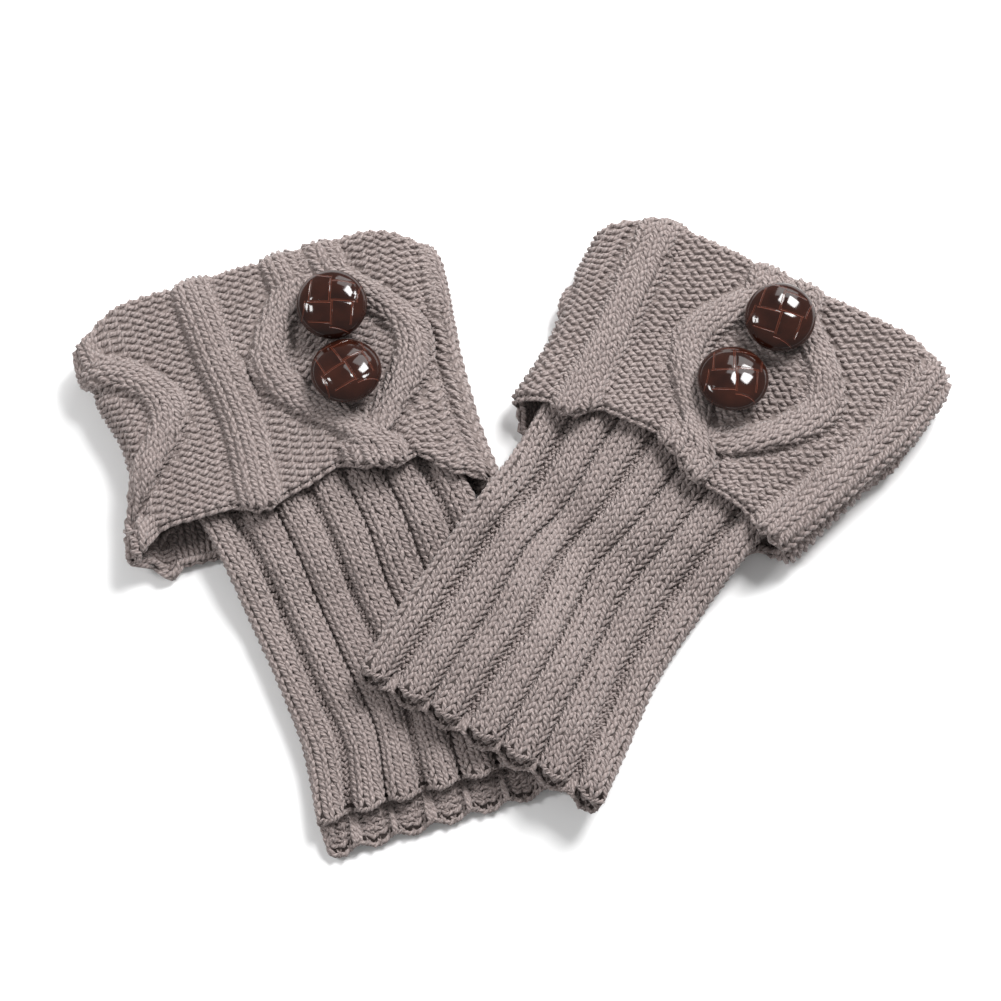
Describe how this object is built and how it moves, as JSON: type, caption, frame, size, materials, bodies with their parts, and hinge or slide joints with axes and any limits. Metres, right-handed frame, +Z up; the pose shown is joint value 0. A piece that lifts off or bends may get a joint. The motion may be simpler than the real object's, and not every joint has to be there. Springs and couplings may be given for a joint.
{
  "type": "pair of knitted boot cuffs",
  "caption": "Pair of ribbed knit boot cuffs lying flat, each with a turned-down cabled band and domed buttons, the right one laid over the left one's leg",
  "frame": {"origin": "on the surface the pair lies on, under the middle of its bounding box", "axes": "+Z up out of that surface, +X from the left cuff to the right cuff, +Y from the leg hems towards the folds"},
  "size_m": [0.2848, 0.2075, 0.0276],
  "materials": {
    "yarn": "matte taupe-grey melange acrylic knit with a slight fuzz",
    "button": "glossy dark brown moulded strap weave with reddish edges"
  },
  "bodies": {
    "root": {"left_leg": "yarn", "left_band": "yarn", "left_upper_button": "button", "left_lower_button": "button", "right_leg": "yarn", "right_band": "yarn", "right_upper_button": "button", "right_lower_button": "button"}
  },
  "joints": []
}
